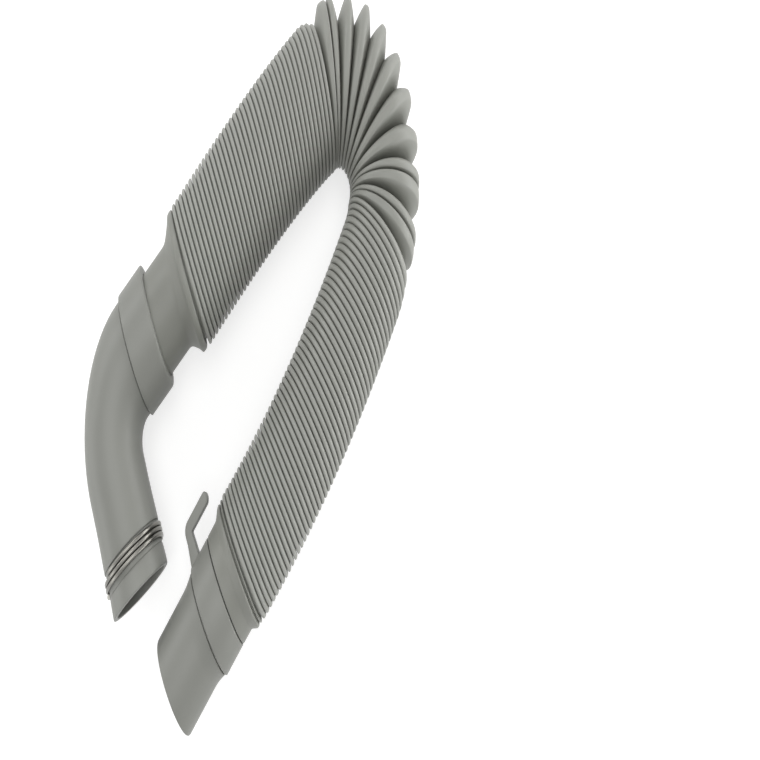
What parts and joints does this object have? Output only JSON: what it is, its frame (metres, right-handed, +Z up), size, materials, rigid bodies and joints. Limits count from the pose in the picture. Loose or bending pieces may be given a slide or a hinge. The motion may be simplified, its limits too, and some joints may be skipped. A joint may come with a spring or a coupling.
{
  "type": "washing machine drain hose",
  "caption": "Corrugated drain hose bent double, with a right-angle elbow and wire clip on one end and a hooked spout on the other.",
  "frame": {"origin": "on the floor under the middle of the outline of the hose as it lies", "axes": "+Z up from the floor, +X towards the side where the hose doubles back, +Y away from the open ends' lower one, as seen from above"},
  "size_m": [0.263, 0.2442, 0.053],
  "materials": {
    "hose_plastic": "matt, blow-moulded",
    "moulded_plastic": "satin, injection-moulded",
    "spring_wire": "drawn steel wire"
  },
  "bodies": {
    "root": {"bellows_hose": "hose_plastic", "elbow_spout": "moulded_plastic", "wire_clip": "spring_wire", "end_spout": "moulded_plastic"}
  },
  "joints": []
}
